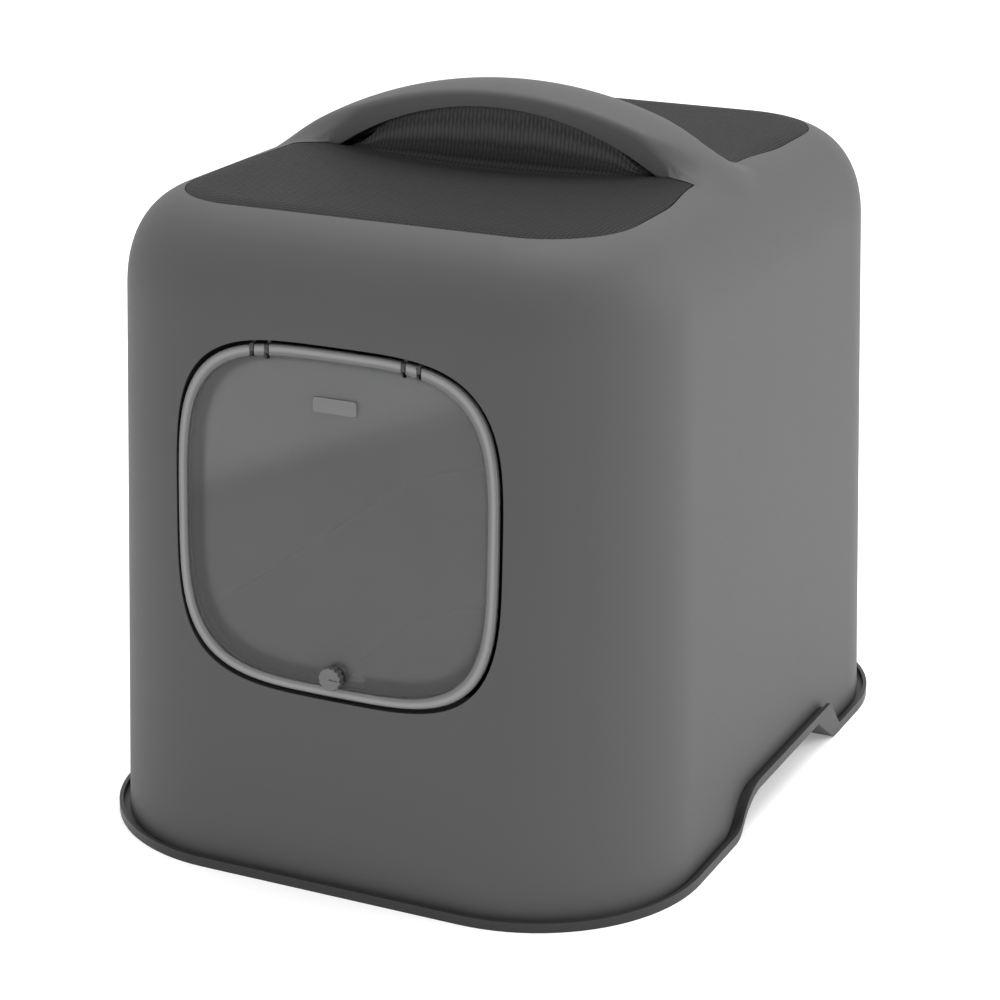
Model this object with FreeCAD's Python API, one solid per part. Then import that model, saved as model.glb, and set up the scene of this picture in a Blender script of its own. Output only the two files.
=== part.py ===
import FreeCAD, Part
import math
import os

# Hooded cat litter box: a tray with a gutter rim, a lift-off hood with a carry handle, a dark top deck
# under the handle, a see-through swing door with a turn lock, and a filter drawer under the deck.
# Millimetres. X is the width, -Y is the door side, +Z is up. The origin is the middle of the footprint.

# ---- overall sizes --------------------------------------------------------------------------------
box_width = 400.0
box_depth = 520.0
handle_top = 455.5
deck_top = 410.0

# ---- tray -----------------------------------------------------------------------------------------
rim_corner = 111.0
rim_web = 2.5
lip_height = 6.3
lip_wall = 2.5
locating_rib_height = 7.0
locating_rib_wall = 2.0
rib_play = 1.2
rim_blank_rise = 60.0
basin_inset = 41.0
basin_corner = 72.0
basin_flare = 10.0
basin_height = 108.0
basin_wall = 2.6
basin_floor = 3.0
basin_bead = 3.0
bead_round = 1.2

# grip notch in both long sides of the rim
notch_rise = 22.7
notch_front = -81.0
notch_front_run = 18.0
notch_rear = 98.0
notch_rear_run = 33.0
notch_seat_rear = 109.0
notch_seat_run = 20.0
notch_sweep = 36.0
notch_toe = 14.0
notch_corner = 5.0

# ---- hood -----------------------------------------------------------------------------------------
hood_gap = 6.7
hood_wall = 3.0
hood_corner = 105.0
hood_corner_top = 95.0
side_draft = 1.47
end_draft = 2.55
shoulder = 56.0
seat_play = 0.4
wall_below_floor = 20.0

# ---- handle ---------------------------------------------------------------------------------------
handle_width = 50.0
handle_outer_radius = 285.0
handle_inner_radius = 200.0
handle_inner_top = 443.0
handle_end_round = 42.0
handle_end_inset = 20.0
foot_reach = 125.0
foot_steps = 4
roof_pitch = 2.0

# ---- top deck -------------------------------------------------------------------------------------
deck_margin_side = 53.0
deck_margin_end = 56.0
deck_corner = 57.0
deck_wall = 3.0
deck_gap = 0.5
foot_notch_depth = 19.0
foot_notch_half = 22.0
foot_notch_mouth = 60.0
foot_notch_round = 16.0
foot_notch_run = 40.0
foot_notch_flare = 6.0
well_length = 236.0
well_breadth = 176.0
well_depth = 13.0
well_rise = 30.0
fin_thickness = 21.0
fin_wall = 2.5
fin_foot_half = 100.0
fin_top_half = 78.0
fin_clear = 0.6
fin_shoulder_drop = 10.0
fin_open_below = 20.0
vent_width = 10.0
vent_height = 11.0
vent_drop = 4.0

# ---- door -----------------------------------------------------------------------------------------
door_size = 213.6
door_power = 3.73
door_centre_z = 232.5
door_thick = 4.4
door_ring = 6.5
door_ring_round = 1.4
pane_front = 1.2
pane_thick = 2.0
door_gap = 2.4
doorway_ahead = 30.0
doorway_behind = 60.0
hinge_drop = 4.2
hinge_offset = 50.0
hinge_spread = 10.0
prong_thick = 2.2
prong_radius = 2.9
prong_side_play = 0.5
prong_slot_below = 6.0
prong_skin_gap = 0.2
prong_root = 8.0
pin_radius = 1.2
pin_fit = 0.05
pin_length = 17.0
pin_end_play = 2.0

# ---- door frame -----------------------------------------------------------------------------------
frame_flange = 15.0
frame_wall = 2.5
sleeve_depth = 24.0
sleeve_full_top = 30.0
sleeve_slope_top = 72.0
swing_relief = 8.0
relief_overlap = 12.0
frame_ahead = 10.0
sleeve_lip = 6.0
hinge_pad_gap = 0.6
hinge_pad_margin = 2.0

# ---- turn lock ------------------------------------------------------------------------------------
knob_radius = 7.4
knob_height = 5.0
knob_lobes = 13
lobe_radius = 1.1
lobe_out = 0.35
knob_face_round = 1.0
pointer_width = 1.2
pointer_depth = 0.6
pointer_margin = 1.5
knob_lap = 0.6
lock_shaft_radius = 3.0
lock_play = 0.4
shaft_fit = 0.06
tongue_width = 4.6
tongue_thick = 2.4
tongue_bite = 2.6
hub_radius = 5.2
keeper_play = 0.5
keeper_reach_play = 1.5

# ---- plaque ---------------------------------------------------------------------------------------
plaque_width = 29.0
plaque_height = 9.0
plaque_corner = 2.0
plaque_thick = 0.6
plaque_up = 73.5

# ---- filter ---------------------------------------------------------------------------------------
drawer_width = 128.0
drawer_length = 112.0
drawer_height = 12.0
drawer_wall = 2.0
drawer_flange = 4.0
drawer_top_gap = 1.0
drawer_play = 0.6
drawer_slots = 9
slot_width = 5.0
slot_pitch = 10.6
slot_end = 9.0
pull_tab_width = 36.0
pull_tab_reach = 12.0
pull_tab_corner = 5.0
rail_wall = 2.2
pad_thick = 8.0
pad_gap = 0.5

deck_width = box_width - 2 * deck_margin_side
deck_depth = box_depth - 2 * deck_margin_end

# FAR is past every face, OVERRUN carries a cut clear of a face, NEAR tells two heights apart
FAR = 700.0
OVERRUN = 1.0
NEAR = 0.01
V = FreeCAD.Vector
UP = V(0, 0, 1)


# ---- drawing helpers ------------------------------------------------------------------------------
def rounded_path(points, radii, close=False):
    """Straight runs through the points, each inner corner turned by a tangent arc of its radius."""
    count = len(points)
    starts, ends, middles = [], [], []
    for i in range(count):
        here = points[i]
        if not close and i in (0, count - 1) or radii[i] == 0:
            starts.append(here)
            ends.append(here)
            middles.append(None)
            continue
        before = (points[i - 1] - here).normalize()
        after = (points[(i + 1) % count] - here).normalize()
        half = before.getAngle(after) / 2
        reach = radii[i] / math.tan(half)
        centre_way = (before + after).normalize()
        starts.append(here + before * reach)
        ends.append(here + after * reach)
        middles.append(here + centre_way * (radii[i] / math.sin(half) - radii[i]))
    edges = []
    for i in range(count):
        if middles[i] is not None:
            edges.append(Part.Arc(starts[i], middles[i], ends[i]).toShape())
        if i < count - 1 or close:
            nxt = (i + 1) % count
            if (starts[nxt] - ends[i]).Length > 1e-6:
                edges.append(Part.LineSegment(ends[i], starts[nxt]).toShape())
    return edges


def rounded_rect(width, depth, radius, z):
    """Closed wire of a rounded rectangle at height z, centred on the Z axis."""
    x, y = width / 2, depth / 2
    corners = [V(x, -y, z), V(x, y, z), V(-x, y, z), V(-x, -y, z)]
    return Part.Wire(rounded_path(corners, [radius] * 4, close=True))


def slab(wire, direction):
    """Solid swept straight from a closed flat wire."""
    return Part.Face(wire).extrude(direction)


def block(x0, x1, y0, y1, z0, z1):
    """Plain box between two corners."""
    return Part.makeBox(x1 - x0, y1 - y0, z1 - z0, V(x0, y0, z0))


def mirror_x(shape):
    """The same shape on the other side of the YZ plane."""
    return shape.mirror(V(0, 0, 0), V(1, 0, 0))


def fuse_all(shapes):
    """One clean solid from shapes that touch or overlap."""
    whole = shapes[0]
    if len(shapes) > 1:
        whole = shapes[0].multiFuse(shapes[1:])
    return whole.removeSplitter()


# ---- hood envelope --------------------------------------------------------------------------------
def envelope_section(inset, z, corner):
    """Plan outline of the drafted hood walls at height z, moved inwards by inset."""
    side_lean = z * math.tan(math.radians(side_draft))
    end_lean = z * math.tan(math.radians(end_draft))
    width = box_width - 2 * (hood_gap + inset + side_lean)
    depth = box_depth - 2 * (hood_gap + inset + end_lean)
    return rounded_rect(width, depth, corner - inset, z)


def straight_walls(inset, top):
    """Drafted block with sharp top edges, from under the floor up to top."""
    slope = (hood_corner_top - hood_corner) / deck_top
    low = -wall_below_floor
    return Part.makeLoft([envelope_section(inset, low, hood_corner + slope * low),
                          envelope_section(inset, top, hood_corner + slope * top)], True, True)


def envelope(inset):
    """The hood's outer volume, or with an inset the volume inside a wall of that thickness."""
    top = deck_top - inset
    body = straight_walls(inset, top)
    rim = [e for e in body.Edges if min(v.Z for v in e.Vertexes) > top - NEAR]
    return body.makeFillet(shoulder - inset, rim)


# ---- rim notch ------------------------------------------------------------------------------------
def rim_line(offset, rear, rear_run):
    """Side view of the rim: along the floor, up over the grip notch and down again, raised by offset."""
    high = notch_rise + offset
    return [V(0, -FAR, offset), V(0, notch_front, offset), V(0, notch_front + notch_front_run, high),
            V(0, rear - rear_run, high), V(0, rear, offset), V(0, FAR, offset)]


def above_rim(offset, rear, rear_run, ceiling):
    """Everything above a rim line, right across the box, up to the ceiling."""
    line = rim_line(offset, rear, rear_run)
    points = line + [V(0, FAR, ceiling), V(0, -FAR, ceiling)]
    radii = [0, notch_toe, notch_sweep, notch_corner, notch_corner, 0, 0, 0]
    wire = Part.Wire(rounded_path(points, radii, close=True))
    return slab(wire, V(2 * FAR, 0, 0)).translated(V(-FAR, 0, 0))


# ---- tray -----------------------------------------------------------------------------------------
def basin_section(shrink, z):
    """Plan outline of the basin wall at height z; it flares towards the top."""
    flare = basin_flare * z / basin_height
    width = box_width - 2 * (basin_inset - flare + shrink)
    depth = box_depth - 2 * (basin_inset - flare + shrink)
    return rounded_rect(width, depth, basin_corner - shrink, z)


def make_tray():
    """Litter basin, the gutter rim round it, and the grip notches in the two long sides."""
    ceiling = notch_rise + rim_blank_rise
    seat = above_rim(rim_web, notch_seat_rear, notch_seat_run, ceiling)
    under = above_rim(0.0, notch_rear, notch_rear_run, ceiling)
    outer = slab(rounded_rect(box_width, box_depth, rim_corner, 0), UP * ceiling)
    inside_lip = slab(rounded_rect(box_width - 2 * lip_wall, box_depth - 2 * lip_wall,
                                   rim_corner - lip_wall, 0), UP * ceiling)
    lip_top = above_rim(lip_height, notch_seat_rear, notch_seat_run, ceiling)
    rib_top = above_rim(rim_web + locating_rib_height, notch_seat_rear, notch_seat_run, ceiling)
    rib_out = hood_gap + hood_wall + rib_play
    rib_ring = slab(rounded_rect(box_width - 2 * rib_out, box_depth - 2 * rib_out, rim_corner - rib_out, 0),
                    UP * ceiling)
    rib_in = rib_out + locating_rib_wall
    rib_hole = slab(rounded_rect(box_width - 2 * rib_in, box_depth - 2 * rib_in, rim_corner - rib_in, 0),
                    UP * ceiling)

    web = outer.cut(seat)
    lip = outer.cut(inside_lip).cut(lip_top)
    rib = rib_ring.cut(rib_hole).cut(rib_top)
    rim = web.fuse(lip).fuse(rib).common(under)

    basin_out = Part.makeLoft([basin_section(0, 0), basin_section(0, basin_height)], True, True)
    basin_in = Part.makeLoft([basin_section(basin_wall, basin_floor),
                              basin_section(basin_wall, basin_height + OVERRUN)], True, True)
    bead = slab(basin_section(-basin_bead, basin_height - basin_bead), UP * basin_bead)
    rings = [e for e in bead.Edges if e.BoundBox.ZLength < NEAR]
    bead = bead.makeFillet(bead_round, rings)
    basin = basin_out.fuse(bead).cut(basin_in)
    room = Part.makeLoft([basin_section(0, -basin_floor), basin_section(0, basin_height)], True, True)
    return fuse_all([rim.cut(room), basin])


# ---- handle ---------------------------------------------------------------------------------------
def roof_section(y, rise):
    """Side-to-side outline at depth y: rise 0 is the plain hood, rise 1 is the full handle arch."""
    lean = math.tan(math.radians(side_draft))
    low = deck_top - 2 * shoulder
    steep = math.asin(reach_fraction())
    tip = handle_top - handle_outer_radius + handle_outer_radius / math.cos(steep)
    wall = box_width / 2 - hood_gap - deck_top * lean
    corner = tip - wall * math.tan(steep)
    corner_z = deck_top + rise * (corner - deck_top)
    tip_z = deck_top + roof_pitch + rise * (tip - deck_top - roof_pitch)
    end_round = shoulder + rise * (handle_end_round - shoulder)
    foot = box_width / 2 - hood_gap
    points = [V(low * lean - foot, y, low), V(corner_z * lean - foot, y, corner_z), V(0, y, tip_z),
              V(foot - corner_z * lean, y, corner_z), V(foot - low * lean, y, low)]
    edges = rounded_path(points, [0, end_round, handle_outer_radius, end_round, 0])
    edges.append(Part.LineSegment(points[-1], points[0]).toShape())
    return Part.Wire(edges)


def reach_fraction():
    """How far the arch's round runs out to each side, as a share of its radius."""
    return (box_width / 2 - hood_gap - handle_end_inset - handle_end_round / 2) / handle_outer_radius


def make_handle_blank():
    """Arch across the hood that swells out of both shoulders, closed under the deck level."""
    side = handle_width / 2
    stations = []
    for i in range(foot_steps + 1):
        share = i / foot_steps
        stations.append((side + (foot_reach - side) * share, (1 + math.cos(math.pi * share)) / 2))
    front = [roof_section(-y, rise) for y, rise in reversed(stations)]
    back = [roof_section(y, rise) for y, rise in stations]
    swell = Part.makeLoft(front + back, True, False)
    band = block(-box_width, box_width, -side, side, 0, FAR)
    reach = deck_width / 2 + deck_gap
    beside = block(-reach, reach, -FAR / 2, FAR / 2, 0, FAR).cut(band)
    beside = beside.cut(foot_notch(-deck_gap)).cut(mirror_x(foot_notch(-deck_gap)))
    return swell.cut(beside)


def handle_bore(radius):
    """Cylinder along Y that opens the arch under the handle."""
    centre_z = handle_inner_top - handle_inner_radius
    return Part.makeCylinder(radius, box_depth, V(0, -box_depth / 2, centre_z), V(0, 1, 0))


# ---- top deck -------------------------------------------------------------------------------------
def foot_notch(grow):
    """Plan shape that the handle's right foot takes out of the deck's edge."""
    inner = deck_width / 2 - foot_notch_depth - grow
    outer = deck_width / 2
    half, mouth = foot_notch_half + grow, foot_notch_mouth + grow
    far_x, far_y = outer + foot_notch_run, mouth + foot_notch_flare
    points = [V(far_x, -far_y, 0), V(outer, -mouth, 0), V(inner, -half, 0), V(inner, half, 0),
              V(outer, mouth, 0), V(far_x, far_y, 0)]
    wire = Part.Wire(rounded_path(points, [0, foot_notch_round, foot_notch_round, foot_notch_round,
                                           foot_notch_round, 0], close=True))
    return slab(wire, UP * FAR)


def deck_prism(grow):
    """Upright prism of the deck's outline, let in round both handle feet."""
    outline = rounded_rect(deck_width + 2 * grow, deck_depth + 2 * grow, deck_corner + grow, 0)
    notch = foot_notch(-grow)
    return slab(outline, UP * FAR).cut(notch).cut(mirror_x(notch))


def finger_well(grow):
    """Shallow oval hollow in the deck under the handle."""
    depth = well_depth + well_rise
    spread = depth / math.sqrt(depth ** 2 - well_rise ** 2)
    ball = Part.makeSphere(1.0)
    scale = FreeCAD.Matrix()
    scale.scale(well_length / 2 * spread + grow, well_breadth / 2 * spread + grow, depth + grow)
    return ball.transformGeometry(scale).translated(V(0, 0, deck_top + well_rise))


def fin_block(inset, floor):
    """Hump under the handle that follows the arch above it."""
    half = fin_thickness / 2 - inset
    bore = handle_bore(handle_inner_radius - fin_clear - inset)
    foot, top = fin_foot_half - inset, fin_top_half - inset
    low = deck_top - fin_shoulder_drop
    points = [V(-foot, -half, floor), V(-foot, -half, low), V(-top, -half, handle_inner_top),
              V(top, -half, handle_inner_top), V(foot, -half, low), V(foot, -half, floor)]
    wire = Part.makePolygon(points + points[:1])
    return slab(wire, V(0, 2 * half, 0)).common(bore)


def drawer_floor_z():
    """Underside of the filter drawer."""
    return deck_top - well_depth - deck_wall - drawer_top_gap - drawer_height


def make_rail():
    """Right-hand rail under the deck that carries the filter drawer's flange."""
    inner = drawer_width / 2 + drawer_play
    lower = drawer_floor_z() + drawer_height - drawer_wall - drawer_play
    half = drawer_length / 2
    upright_x = inner + drawer_flange
    post = block(upright_x, upright_x + rail_wall, -half, half, lower - rail_wall, deck_top - deck_wall / 2)
    ledge = block(inner, upright_x + rail_wall, -half, half, lower - rail_wall, lower)
    return post.fuse(ledge)


def make_deck():
    """Pillowed deck with a finger well, a hollow hump with vents, and two drawer rails."""
    outer = envelope(0.0).common(deck_prism(0.0)).cut(finger_well(0.0))
    under = envelope(deck_wall).cut(finger_well(deck_wall))
    skin = outer.cut(under)
    fin = fin_block(0.0, deck_top - well_depth - deck_wall)
    rails = [make_rail(), mirror_x(make_rail())]
    rail_zone = envelope(deck_wall / 2).cut(finger_well(deck_wall / 2))
    rails = [rail.common(rail_zone) for rail in rails]
    deck = skin.fuse(fin).cut(fin_block(fin_wall, deck_top - well_depth - fin_open_below))
    vent_end, vent_low = fin_foot_half + 5 * OVERRUN, deck_top - vent_drop
    vent = block(-vent_end, vent_end, -vent_width / 2, vent_width / 2, vent_low, vent_low + vent_height)
    deck = deck.cut(vent)
    return fuse_all([deck] + rails)


# ---- hood -----------------------------------------------------------------------------------------
def make_hood():
    """Drafted shell with its integral handle, open for the deck, the door and the grip notches."""
    shell = envelope(0.0).cut(envelope(hood_wall))
    deck_hole = deck_prism(deck_gap)
    shell = shell.cut(deck_hole)
    arch = make_handle_blank().cut(handle_bore(handle_inner_radius)).cut(envelope(hood_wall))
    under_arch = deck_hole.common(envelope(-deck_gap))
    arch = arch.cut(under_arch)
    hood = shell.fuse(arch)
    seat = above_rim(rim_web + seat_play, notch_seat_rear + seat_play, notch_seat_run, FAR)
    hood = hood.common(seat)
    return hood.cut(door_place(door_hole())).removeSplitter()


# ---- door -----------------------------------------------------------------------------------------
def superellipse(half, depth):
    """Closed soft-square wire in the door plane at a depth behind the door's front."""
    count = 64
    points = []
    for i in range(count):
        angle = 2 * math.pi * (i + 0.5) / count
        c, s = math.cos(angle), math.sin(angle)
        x = math.copysign(abs(c) ** (2 / door_power), c) * half
        z = math.copysign(abs(s) ** (2 / door_power), s) * half
        points.append(V(x, depth, z))
    curve = Part.BSplineCurve()
    curve.interpolate(Points=points, PeriodicFlag=True)
    return Part.Wire(curve.toShape())


def disc_plate(half, front, back):
    """Soft-square plate between two depths."""
    return slab(superellipse(half, front), V(0, back - front, 0))


def door_place(shape):
    """Move a shape from the door's own frame (front face at y = 0) onto the leaning front wall."""
    lean = math.tan(math.radians(end_draft))
    front_y = -(box_depth / 2 - hood_gap - door_centre_z * lean)
    moved = shape.copy()
    moved.rotate(V(0, 0, 0), V(1, 0, 0), -end_draft)
    moved.translate(V(0, front_y, door_centre_z))
    return moved


def door_hole():
    """Through cut for the doorway."""
    return disc_plate(door_size / 2 + door_gap, -doorway_ahead, doorway_behind)


hinge_up = door_size / 2 - hinge_drop
hinge_depth = door_thick / 2
lock_up = -(door_size / 2 - door_ring - knob_radius + knob_lap)


def along_x(radius, centre_x, length, up, depth):
    """Round bar along X, centred on centre_x."""
    return Part.makeCylinder(radius, length, V(centre_x - length / 2, depth, up), V(1, 0, 0))


def make_door():
    """Clear flap: thin pane in a thicker round-edged ring, slotted for the hinge prongs."""
    half = door_size / 2
    plate = disc_plate(half, 0.0, door_thick)
    plate = plate.makeFillet(door_ring_round, [e for e in plate.Edges if e.BoundBox.YLength < NEAR])
    inner = half - door_ring
    door = plate.cut(disc_plate(inner, -OVERRUN, pane_front))
    boss = Part.makeCylinder(hub_radius, 2 * door_thick, V(0, 0, lock_up), V(0, 1, 0))
    door = door.cut(disc_plate(inner, pane_front + pane_thick, door_thick + OVERRUN).cut(boss))
    slot = prong_thick / 2 + prong_side_play
    slot_low = hinge_up - prong_slot_below
    bore_length = pin_length + 2 * pin_end_play
    for side in (-1, 1):
        for end in (-1, 1):
            x = side * hinge_offset + end * hinge_spread / 2
            door = door.cut(block(x - slot, x + slot, -door_thick, 2 * door_thick, slot_low, FAR))
        pin_bore = along_x(pin_radius + pin_fit, side * hinge_offset, bore_length, hinge_up, hinge_depth)
        door = door.cut(pin_bore)
    bore = Part.makeCylinder(lock_shaft_radius + shaft_fit, 4 * door_thick, V(0, -door_thick, lock_up),
                             V(0, 1, 0))
    return door_place(door.cut(bore))


def make_pin(side):
    """Steel hinge pin, held in the frame's prongs."""
    return door_place(along_x(pin_radius, side * hinge_offset, pin_length, hinge_up, hinge_depth))


def make_frame():
    """Doorway frame inside the hood: flange, sleeve, hinge prongs and the keeper slot."""
    half = door_size / 2 + door_gap
    inside = envelope(hood_wall)
    skin = inside.cut(envelope(hood_wall + frame_wall))
    flange = skin.common(door_place(disc_plate(half + frame_flange, -frame_ahead, doorway_behind)))
    sleeve = disc_plate(half + frame_wall, -frame_ahead, sleeve_depth)
    low, high = sleeve_full_top, sleeve_slope_top
    cut_back = Part.makePolygon([V(-FAR / 2, sleeve_depth, low), V(-FAR / 2, sleeve_lip, high),
                                 V(-FAR / 2, sleeve_lip, FAR), V(-FAR / 2, FAR, FAR),
                                 V(-FAR / 2, FAR, low), V(-FAR / 2, sleeve_depth, low)])
    sleeve = sleeve.cut(slab(cut_back, V(FAR, 0, 0)))
    frame = flange.fuse(door_place(sleeve).common(inside)).cut(door_place(door_hole()))
    relief = disc_plate(half + swing_relief, -frame_ahead, doorway_behind)
    relief = relief.common(block(-FAR, FAR, -FAR, FAR, high - relief_overlap, FAR))
    frame = frame.cut(door_place(relief))
    prongs = []
    for side in (-1, 1):
        for end in (-1, 1):
            prongs.append(make_prong(side * hinge_offset + end * hinge_spread / 2))
    pads = [door_place(block(s * hinge_offset - hinge_spread, s * hinge_offset + hinge_spread,
                             hood_wall, hood_wall + frame_wall,
                             half + hinge_pad_gap, half + frame_flange - hinge_pad_margin))
            for s in (-1, 1)]
    prongs = [door_place(p) for p in prongs]
    pads = [p.common(inside) for p in pads]
    frame = fuse_all([frame] + pads + prongs)
    for side in (-1, 1):
        frame = frame.cut(make_pin(side))
    return frame.cut(door_place(keeper_slot()))


def make_prong(x):
    """Thin hinge prong that hooks forward from the flange and holds the pin."""
    half = door_size / 2 + door_gap
    eye = along_x(prong_radius, x, prong_thick, hinge_up, hinge_depth)
    back = hood_wall + frame_wall
    left, right = x - prong_thick / 2, x + prong_thick / 2
    arm = block(left, right, hood_wall + prong_skin_gap, back, hinge_up, half + prong_root)
    foot = block(left, right, hinge_depth, back, hinge_up, hinge_up + prong_radius)
    return eye.fuse(arm).fuse(foot)


def tongue_reach():
    """Distance from the lock's axis to the tongue's tip."""
    return door_size / 2 + door_gap + tongue_bite + lock_up


def keeper_slot():
    """Slot through the sleeve's floor that the tongue turns down into."""
    front = door_thick + lock_play - keeper_play
    back = front + tongue_thick + 2 * keeper_play
    reach = tongue_reach() + keeper_reach_play
    return Part.makeCylinder(reach, back - front, V(0, front, lock_up), V(0, 1, 0))


# ---- turn lock ------------------------------------------------------------------------------------
def make_knob():
    """Knurled knob in front of the pane with its shaft through the door."""
    front, back = -knob_height - lock_play, -lock_play
    body = Part.makeCylinder(knob_radius, back - front, V(0, front, 0), V(0, 1, 0))
    body = body.makeFillet(knob_face_round, [e for e in body.Edges if abs(e.BoundBox.YMax - front) < NEAR])
    for i in range(knob_lobes):
        angle = 2 * math.pi * i / knob_lobes
        x, z = math.cos(angle) * (knob_radius + lobe_out), math.sin(angle) * (knob_radius + lobe_out)
        lobe = Part.makeCylinder(lobe_radius, knob_height + 2 * OVERRUN, V(x, front - OVERRUN, z), V(0, 1, 0))
        body = body.cut(lobe)
    pointer = block(0, knob_radius - pointer_margin, front - OVERRUN, front + pointer_depth,
                    -pointer_width / 2, pointer_width / 2)
    shaft = Part.makeCylinder(lock_shaft_radius, door_thick + lock_play + tongue_thick - back,
                              V(0, back, 0), V(0, 1, 0))
    knob = body.cut(pointer).fuse(shaft)
    return door_place(knob.translated(V(0, 0, lock_up)))


def make_tongue():
    """Catch lever pressed on the shaft behind the pane, lying sideways while the door is free."""
    front = door_thick + lock_play
    reach = tongue_reach()
    hub = Part.makeCylinder(hub_radius, tongue_thick, V(0, front, 0), V(0, 1, 0))
    half = tongue_width / 2
    arm = block(0, reach - half, front, front + tongue_thick, -half, half)
    tip = Part.makeCylinder(half, tongue_thick, V(reach - half, front, 0), V(0, 1, 0))
    hole = Part.makeCylinder(lock_shaft_radius, 4 * door_thick, V(0, -door_thick, 0), V(0, 1, 0))
    tongue = fuse_all([hub, arm, tip]).cut(hole)
    return door_place(tongue.translated(V(0, 0, lock_up)))


def make_plaque():
    """Small blank plaque on the pane."""
    x, z = plaque_width / 2, plaque_height / 2
    y = pane_front - plaque_thick
    corners = [V(x, y, -z), V(x, y, z), V(-x, y, z), V(-x, y, -z)]
    wire = Part.Wire(rounded_path(corners, [plaque_corner] * 4, close=True))
    return door_place(slab(wire, V(0, plaque_thick, 0)).translated(V(0, 0, plaque_up)))


# ---- filter ---------------------------------------------------------------------------------------
def make_drawer():
    """Open-topped drawer with a slotted floor, side flanges for the rails and a pull tab."""
    z0 = drawer_floor_z()
    x, y = drawer_width / 2, drawer_length / 2
    tub = block(-x, x, -y, y, z0, z0 + drawer_height)
    top = z0 + drawer_height
    room = block(-x + drawer_wall, x - drawer_wall, -y + drawer_wall, y - drawer_wall,
                 z0 + drawer_wall, top + OVERRUN)
    tub = tub.cut(room)
    flange = block(-x - drawer_flange, x + drawer_flange, -y, y, top - drawer_wall, top).cut(room)
    tab = block(-pull_tab_width / 2, pull_tab_width / 2, y, y + pull_tab_reach, z0, z0 + drawer_wall)
    corners = [e for e in tab.Edges if e.BoundBox.ZLength > NEAR and e.BoundBox.YMin > y + NEAR]
    tab = tab.makeFillet(pull_tab_corner, corners)
    drawer = fuse_all([tub, flange, tab])
    for i in range(drawer_slots):
        cx = (i - (drawer_slots - 1) / 2) * slot_pitch
        drawer = drawer.cut(block(cx - slot_width / 2, cx + slot_width / 2, -y + slot_end, y - slot_end,
                                  z0 - OVERRUN, z0 + drawer_wall + pad_gap))
    return drawer


def make_pad():
    """Active-carbon filter pad lying in the drawer."""
    z0 = drawer_floor_z() + drawer_wall
    x = drawer_width / 2 - drawer_wall - pad_gap
    y = drawer_length / 2 - drawer_wall - pad_gap
    return block(-x, x, -y, y, z0, z0 + pad_thick)


NODES = {
    "tray": make_tray,
    "hood": make_hood,
    "top_deck": make_deck,
    "door_frame": make_frame,
    "hinge_pin_left": lambda: make_pin(-1),
    "hinge_pin_right": lambda: make_pin(1),
    "door_flap": make_door,
    "name_plaque": make_plaque,
    "lock_knob": make_knob,
    "lock_tongue": make_tongue,
    "filter_drawer": make_drawer,
    "filter_pad": make_pad,
}

os.makedirs("parts", exist_ok=True)
for name, maker in NODES.items():
    solid = maker()
    solid.exportStep("parts/" + name + ".step")
    print(name, "solids", len(solid.Solids), "valid", solid.isValid(), "cm3", round(solid.Volume / 1000, 1))
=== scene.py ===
"""Looks of a hooded cat litter box: hood and handle, woven top deck, clear swing door, tray and filter."""

import math

import bpy
import numpy as np
from bpy.props import FloatProperty, FloatVectorProperty, IntProperty, PointerProperty
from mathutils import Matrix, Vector


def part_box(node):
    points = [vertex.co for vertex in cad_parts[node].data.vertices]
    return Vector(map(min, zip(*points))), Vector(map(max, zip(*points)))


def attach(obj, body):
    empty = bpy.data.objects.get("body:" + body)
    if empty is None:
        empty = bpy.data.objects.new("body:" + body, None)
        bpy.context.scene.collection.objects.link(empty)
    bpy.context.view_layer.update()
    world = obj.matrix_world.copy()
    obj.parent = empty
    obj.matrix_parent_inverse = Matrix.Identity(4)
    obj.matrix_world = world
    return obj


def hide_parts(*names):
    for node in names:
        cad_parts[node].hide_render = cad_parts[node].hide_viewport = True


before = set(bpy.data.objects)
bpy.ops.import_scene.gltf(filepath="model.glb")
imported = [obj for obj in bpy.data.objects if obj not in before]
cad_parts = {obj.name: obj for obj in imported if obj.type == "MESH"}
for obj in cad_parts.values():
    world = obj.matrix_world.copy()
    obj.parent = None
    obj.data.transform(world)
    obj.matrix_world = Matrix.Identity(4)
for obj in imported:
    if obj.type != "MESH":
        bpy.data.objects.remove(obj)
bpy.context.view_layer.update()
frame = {"nodes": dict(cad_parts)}

bl_info = {
    "name": "Hooded litter box",
    "version": (1, 0, 0),
    "blender": (4, 5, 0),
    "location": "3D View > Sidebar > Litter Box",
    "description": "Builds the hood, deck, door, tray and filter of a hooded litter box",
    "category": "Object",
}

MM = 0.001

# the handle's feet: where each part of their shape begins, and over what run it grows
FOOT_LEAVE = 136 * MM
FOOT_FULLNESS = 0.9
SPREAD_FROM, SPREAD_RUN, SPREAD_REACH = 128 * MM, 60 * MM, 68 * MM
ROLL_FROM, ROLL_RUN, ROLL_EDGE, ROLL_SHARE = 92 * MM, 66 * MM, 5.5 * MM, 0.92
SOFT_FROM, SOFT_RUN = 96 * MM, 52 * MM
EDGE_POWER = 3.2
BASE_BLEND, BASE_ZONE = 2.0 * MM, 60 * MM
BAND_END, FAN_END, FAN_SHARE = 118 * MM, 126 * MM, 0.3
FOOT_EDGE_FROM, FOOT_EDGE_Y = 98 * MM, 27 * MM

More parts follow.
